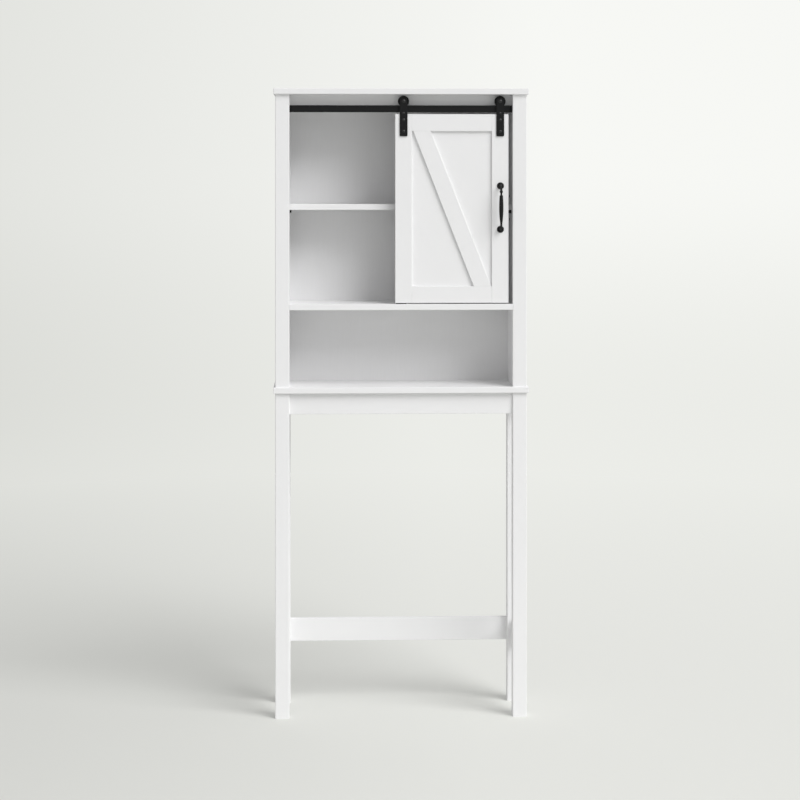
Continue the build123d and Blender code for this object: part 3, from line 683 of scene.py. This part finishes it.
@dataclass(frozen=True)
class HangerHardware:
    """Track, straps, fasteners, shelf supports and the two grooved rollers. Millimetres."""

    half_width: float = 5.4
    radius: float = 14.9
    bore: float = 3.05
    hub: float = 6.0
    bore_chamfer: float = 0.4
    dish_depth: float = 0.9
    dish_slope: float = 0.6
    lip: float = 0.3
    rim: float = 12.4
    edge: float = 0.7
    tread_half: float = 3.0
    tread: float = 10.7
    tread_fillet: float = 0.8
    edge_steps: int = 5
    fillet_steps: int = 4
    turns: int = 72
    black: tuple[str, ...] = (
        "door_track", "track_screws", "left_hanger_strap", "right_hanger_strap",
        "axle_washers", "shelf_sleeves",
    )
    bright: tuple[str, ...] = ("axle_bolts", "stop_pins", "strap_screws", "shelf_supports")

    def build(self) -> None:
        """Turns the rollers and dresses the rest."""
        for node in self.black:
            dress(node, finish(Slot.BLACK_METAL))
        for node in self.bright:
            dress(node, bright_black())
        for side in ("left", "right"):
            self.make_roller(f"{side}_roller")

    def half_profile(self) -> list[Pair]:
        """Outline of one half of a roller, from the bore to the middle of the tread.

        Returns:
            Pairs of distance from the middle and radius, in millimetres.
        """
        face = self.half_width
        dish = face - self.dish_depth
        lip = face - self.lip / 2
        points = [(face - self.bore_chamfer, self.bore), (face, self.bore + self.bore_chamfer)]
        points += [(face, self.hub - self.lip), (lip, self.hub), (dish, self.hub + self.dish_slope)]
        points += [(dish, self.rim - self.dish_slope), (lip, self.rim), (face, self.rim + self.lip)]
        edge_middle = self.radius - self.edge
        points += arc((face - self.edge, edge_middle), self.edge, 0, 90, self.edge_steps)
        points += arc((self.tread_half + self.edge, edge_middle), self.edge, 90, 180, self.edge_steps)
        fillet_centre = (self.tread_half - self.tread_fillet, self.tread + self.tread_fillet)
        points += arc(fillet_centre, self.tread_fillet, 0, -90, self.fillet_steps)
        return points

    def make_roller(self, node: str) -> None:
        """Turns one roller about its axle and puts it in place of its solid.

        Args:
            node: the roller's solid, which is also the name of its body.
        """
        low, high = (Vector(corner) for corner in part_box(node))
        middle = (low + high) / 2
        half = self.half_profile()
        outline = [(-offset, radius) for offset, radius in half] + half[::-1]
        shape = bmesh.new()
        rings = []
        for offset, radius in outline:
            centre = middle + BACK * offset * MILLIMETRE
            rings.append(add_ring(shape, centre, (RIGHT, UP), radius * MILLIMETRE, self.turns))
        for first, second in zip(rings, rings[1:] + rings[:1]):
            bridge(shape, first, second)
        place_piece(f"{node}_wheel", shape, node, Slot.BLACK_ROLLER, node)


class Ring(NamedTuple):
    """One ring of the pull's skin. Millimetres and radians."""

    out: float  # from the door's face
    height: float
    lean: float  # of the path, from straight out
    radius: float


@dataclass(frozen=True)
class PullHandle:
    """The slim turned pull: round feet, bent necks, a bead, a waist and a swelling grip. Millimetres."""

    foot_radius: float = 9.5
    foot_rim: float = 1.2
    foot_chamfer: float = 0.3
    foot_rise: float = 5.8
    foot_cove: float = 3.4
    cove_reach: float = 0.7  # share of the cove that lies along the neck
    cove_ease: float = 2.2
    neck: float = 2.9
    standoff: float = 27.2
    bend: float = 16.0
    bead: float = 4.3
    waist: float = 2.5
    waist_length: float = 10.0
    collar: float = 4.5
    collar_round: float = 0.6
    grip: float = 5.8
    grip_peak: float = 33.5
    ball_steps: int = 14
    cove_steps: int = 7
    bend_steps: int = 17
    bead_steps: int = 6
    waist_steps: int = 10
    collar_steps: int = 5
    grip_steps: int = 24
    turns: int = 48

    def build(self) -> None:
        """Sweeps one skin along the pull's path and puts it in place of its solid."""
        low, high = (Vector(corner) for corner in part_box("pull_handle"))
        middle_x = (low.x + high.x) / 2
        face = high.y
        top = high.z / MILLIMETRE - self.foot_radius
        bottom = low.z / MILLIMETRE + self.foot_radius
        path = self.foot_rings(top) + self.bend_rings(top, -1)
        path += self.grip_rings(top - self.bend, bottom + self.bend)
        path += self.bend_rings(bottom, 1)[::-1] + self.foot_rings(bottom)[::-1]
        shape = bmesh.new()
        rings = []
        for ring in path:
            along = UP * math.sin(ring.lean) - BACK * math.cos(ring.lean)
            centre = Vector((middle_x, face - ring.out * MILLIMETRE, ring.height * MILLIMETRE))
            sides = (RIGHT, RIGHT.cross(along))
            rings.append(add_ring(shape, centre, sides, ring.radius * MILLIMETRE, self.turns))
        for first, second in zip(rings, rings[1:]):
            bridge(shape, first, second)
        shape.faces.new(rings[0])
        shape.faces.new(rings[-1])
        place_piece("turned_pull", shape, "door", Slot.BLACK_METAL, "pull_handle")

    def foot_rings(self, height: float) -> list[Ring]:
        """Rings of one foot and its straight neck, from the door outwards.

        Args:
            height: the height of the foot's middle.

        Returns:
            The rings, in order along the path.
        """
        ball = (self.foot_radius**2 + self.foot_rise**2) / (2 * self.foot_rise)
        ball_centre = self.foot_rim + self.foot_rise - ball
        outline = [(0.0, self.foot_radius - self.foot_chamfer), (self.foot_chamfer, self.foot_radius)]
        outline.append((self.foot_rim, self.foot_radius))
        widest = math.asin(self.foot_radius / ball)
        narrowest = math.asin((self.neck + self.foot_cove / 2) / ball)
        for step in range(1, self.ball_steps + 1):
            angle = widest + (narrowest - widest) * step / self.ball_steps
            outline.append((ball_centre + ball * math.cos(angle), ball * math.sin(angle)))
        start_out, start_radius = outline[-1]
        for step in range(1, self.cove_steps + 1):
            share = step / self.cove_steps
            ease = 1 - (1 - share) ** self.cove_ease
            out = start_out + self.foot_cove * share * self.cove_reach
            outline.append((out, start_radius + (self.neck - start_radius) * ease))
        outline.append((self.standoff - self.bend, self.neck))
        return [Ring(out, height, 0.0, radius) for out, radius in outline]

    def bend_rings(self, height: float, turn: int) -> list[Ring]:
        """Rings round one bend, from the neck to the grip's axis.

        Args:
            height: the height of the neck.
            turn: -1 where the path goes down from the neck, 1 where it goes up.

        Returns:
            The rings, in order along the path.
        """
        quarter = math.pi / 2
        bulge = self.bead if turn < 0 else 0.0
        rings = []
        for step in range(1, self.bend_steps):
            angle = quarter * step / self.bend_steps
            out = self.standoff - self.bend + self.bend * math.sin(angle)
            rise = turn * self.bend * (1 - math.cos(angle))
            arc_left = self.bend * (quarter - angle)
            radius = max(self.neck, math.sqrt(max(bulge**2 - arc_left**2, 0.0)))
            lean = -angle if turn < 0 else angle - math.pi
            rings.append(Ring(out, height + rise, lean, radius))
        return rings

    def grip_rings(self, top: float, bottom: float) -> list[Ring]:
        """Rings of the bead, the waist, the collar and the grip, from the top down.

        Args:
            top: height of the upper bend's end.
            bottom: height of the lower bend's end.

        Returns:
            The rings, in order along the path.
        """
        outline = []
        bead_reach = math.sqrt(self.bead**2 - self.neck**2)
        for step in range(self.bead_steps + 1):
            drop = bead_reach * step / self.bead_steps
            outline.append((drop, math.sqrt(self.bead**2 - drop**2)))
        for step in range(1, self.waist_steps + 1):
            share = step / self.waist_steps
            drop = bead_reach + (self.waist_length - bead_reach) * share
            outline.append((drop, self.waist + (self.neck - self.waist) * (2 * share - 1) ** 2))
        shoulder = self.waist_length + self.collar_round
        for across, along in arc((0.0, 0.0), 1.0, -90, 0, self.collar_steps):
            radius = self.collar - self.collar_round + self.collar_round * across
            outline.append((shoulder + self.collar_round * along, radius))
        length = top - bottom
        peak = self.waist_length + self.grip_peak
        for step in range(1, self.grip_steps + 1):
            drop = shoulder + (length - shoulder) * step / self.grip_steps
            if drop < peak:
                radius = self.grip - (self.grip - self.collar) * ((peak - drop) / self.grip_peak) ** 2
            else:
                radius = self.grip - (self.grip - self.neck) * ((drop - peak) / (length - peak)) ** 2
            outline.append((drop, radius))
        return [Ring(self.standoff, top - drop, -math.pi / 2, radius) for drop, radius in outline]


@dataclass(frozen=True)
class Fade:
    """A colour that changes evenly from one X to another."""

    span: Pair
    left: Colour
    right: Colour

    def colour(self, wiring: Wiring, across: Socket) -> Socket:
        """Wires the fade and gives its colour."""
        share = wiring.spread(across, self.span)
        return wiring.mix(share, (*self.left, 1.0), (*self.right, 1.0))


@dataclass(frozen=True)
class Studio:
    """Pale floor that bends up into a backdrop, one soft lamp at the right and an even sky; the floor and
    backdrop colours carry painted shade and painted light falloff.
    """

    floor_radius: float = 6.5
    bend_radius: float = 3.0
    wall_height: float = 1.0
    turns: int = 160
    floor_steps: int = 8
    bend_steps: int = 24
    # painted shade: the matt floor is darker to the left, standing in for the lamp's falloff and the
    # rack's long soft shadow
    floor_painted_shade: Fade = Fade((-1.7, 0.2), (0.568, 0.573, 0.549), (0.784, 0.789, 0.757))
    # painted light: the glow seen by the eye is darker to the left and lighter higher up, standing in for
    # the falloff of the lamp at the right
    low_glow_painted_falloff: Fade = Fade((-3.4, 0.4), (0.663, 0.670, 0.638), (0.834, 0.842, 0.807))
    high_glow_painted_falloff: Fade = Fade((-3.4, 1.4), (0.738, 0.746, 0.714), (0.929, 0.936, 0.908))
    glow_reach: Pair = (0.5, 4.5)  # from the rack's axis, where the glow sets in and where it is full
    # painted light: near the rack this share of the glow lies over the matt floor for the eye, lifting
    # its cast shadows
    near_painted_fill: float = 0.12
    glow_rise: float = 1.6
    sky_strength: float = 0.495
    sky_seen: float = 0.9
    key_bearing: float = 44.0
    key_height: float = 42.0
    key_spread: float = 40.0
    key_strength: float = 2.2
    key_distance: float = 5.0

    def build(self) -> None:
        """Makes the floor, the backdrop, the sky and the lamp."""
        paper = self.paper()
        steps = range(1, self.floor_steps + 1)
        flat = [(self.floor_radius * step / self.floor_steps, 0.0) for step in steps]
        bend = arc((self.floor_radius, self.bend_radius), self.bend_radius, -90, 0, self.bend_steps)
        bend.append((bend[-1][0], bend[-1][1] + self.wall_height))
        self.lathe("studio_floor", flat, paper)
        backdrop = self.lathe("studio_backdrop", bend, paper)
        backdrop.visible_diffuse = False
        backdrop.visible_shadow = False
        self.make_sky()
        self.make_key()

    def lathe(self, name: str, profile: list[Pair], paper: Material) -> bpy.types.Object:
        """Turns a profile round the upright axis and marks it as the stage.

        Args:
            name: the object's name.
            profile: pairs of radius and height.
            paper: the material.

        Returns:
            The new object.
        """
        shape = bmesh.new()
        rings = [
            add_ring(shape, UP * height, (RIGHT, BACK), radius, self.turns) for radius, height in profile
        ]
        for first, second in zip(rings, rings[1:]):
            bridge(shape, first, second)
        if profile[0][1] == profile[-1][1]:
            shape.faces.new(rings[0])
        mesh = bpy.data.meshes.new(name)
        bmesh.ops.recalc_face_normals(shape, faces=shape.faces)
        shape.to_mesh(mesh)
        shape.free()
        mesh.shade_smooth()
        mesh.materials.append(paper)
        stage = bpy.data.objects.new(name, mesh)
        bpy.context.scene.collection.objects.link(stage)
        return stage

    def paper(self) -> Material:
        """Makes matt paper, painted darker to the left as shade, whose far part glows pale to the eye and
        in reflections, with painted light falloff to the left and a small painted fill over the near
        shadows.

        Returns:
            The finished material.
        """
        material = bpy.data.materials.new("studio_paper")
        material.use_nodes = True
        wiring = Wiring(material.node_tree)
        place = wiring.add("ShaderNodeTexCoord").outputs["Object"]
        axes = wiring.add("ShaderNodeSeparateXYZ", {0: place}).outputs
        # painted shade: the matt colour darkens towards the left
        matt = wiring.add("ShaderNodeBsdfDiffuse", {"Color": self.floor_painted_shade.colour(wiring, axes[0])})
        flat = wiring.vector("MULTIPLY", place, (1.0, 1.0, 0.0))
        reach = wiring.vector("LENGTH", flat, (0.0, 0.0, 0.0), "Value")
        # near the rack a small share of painted glow lies over the matt floor and its shadows
        far = wiring.spread(reach, self.glow_reach, (self.near_painted_fill, 1.0))
        up = wiring.spread(axes[2], (0.0, self.glow_rise), smooth=True)
        # painted light falloff: the glow darkens to the left and lightens with height
        low, high = (fade.colour(wiring, axes[0]) for fade in (self.low_glow_painted_falloff, self.high_glow_painted_falloff))
        glow = wiring.add("ShaderNodeEmission", {"Color": wiring.mix(up, low, high)})
        share = wiring.math("MULTIPLY", wiring.seen(), far)
        shader = wiring.add("ShaderNodeMixShader", {0: share, 1: matt.outputs[0], 2: glow.outputs[0]})
        wiring.add("ShaderNodeOutputMaterial", {"Surface": shader.outputs[0]})
        return material

    def make_sky(self) -> None:
        """Makes the even light from all round, which the eye sees as nearly white."""
        world = bpy.data.worlds.new("studio_sky")
        world.use_nodes = True
        wiring = Wiring(world.node_tree)
        strength = wiring.spread(wiring.seen(), (0.0, 1.0), (self.sky_strength, self.sky_seen))
        white = (1.0, 1.0, 1.0, 1.0)
        light = wiring.add("ShaderNodeBackground", {"Color": white, "Strength": strength})
        wiring.add("ShaderNodeOutputWorld", {"Surface": light.outputs[0]})
        bpy.context.scene.world = world

    def make_key(self) -> None:
        """Makes the broad lamp at the upper right, which throws the soft shadows."""
        lamp = bpy.data.lights.new("key_lamp", "SUN")
        lamp.energy = self.key_strength
        lamp.angle = math.radians(self.key_spread)
        key = bpy.data.objects.new("key_lamp", lamp)
        bearing, height = math.radians(self.key_bearing), math.radians(self.key_height)
        toward = Vector((math.sin(bearing), -math.cos(bearing), math.tan(height))).normalized()
        key.location = toward * self.key_distance
        key.rotation_euler = toward.to_track_quat("Z", "Y").to_euler()
        bpy.context.scene.collection.objects.link(key)


@dataclass(frozen=True)
class PhotoCamera:
    """Level camera at the place and with the framing of the photograph."""

    image_side: float = 800.0
    focal_pixels: float = 2017.0
    horizon_row: float = 183.2
    eye: tuple[float, float, float] = (-0.2040, -5.5342, 1.444)
    turn: float = 2.11
    sensor: float = 36.0

    def build(self) -> None:
        """Makes the camera and hands it to the scene."""
        lens = bpy.data.cameras.new("photo_camera")
        lens.sensor_width = self.sensor
        lens.lens = self.sensor * self.focal_pixels / self.image_side
        lens.shift_y = self.horizon_row / self.image_side - 0.5
        camera = bpy.data.objects.new("photo_camera", lens)
        camera.location = self.eye
        camera.rotation_euler = (math.radians(90), 0.0, -math.radians(self.turn))
        bpy.context.scene.collection.objects.link(camera)
        bpy.context.scene.camera = camera


def main() -> None:
    """Builds and dresses the rack, then the studio round it."""
    logging.basicConfig(level=logging.INFO, format="%(name)s: %(message)s")
    bpy.context.scene.view_settings.view_transform = "Standard"
    for part in (WoodenFrame(), Joinery(), HangerHardware(), PullHandle(), Studio(), PhotoCamera()):
        part.build()
        log.info("%s is done", type(part).__name__)


if __name__ == "__main__":
    main()
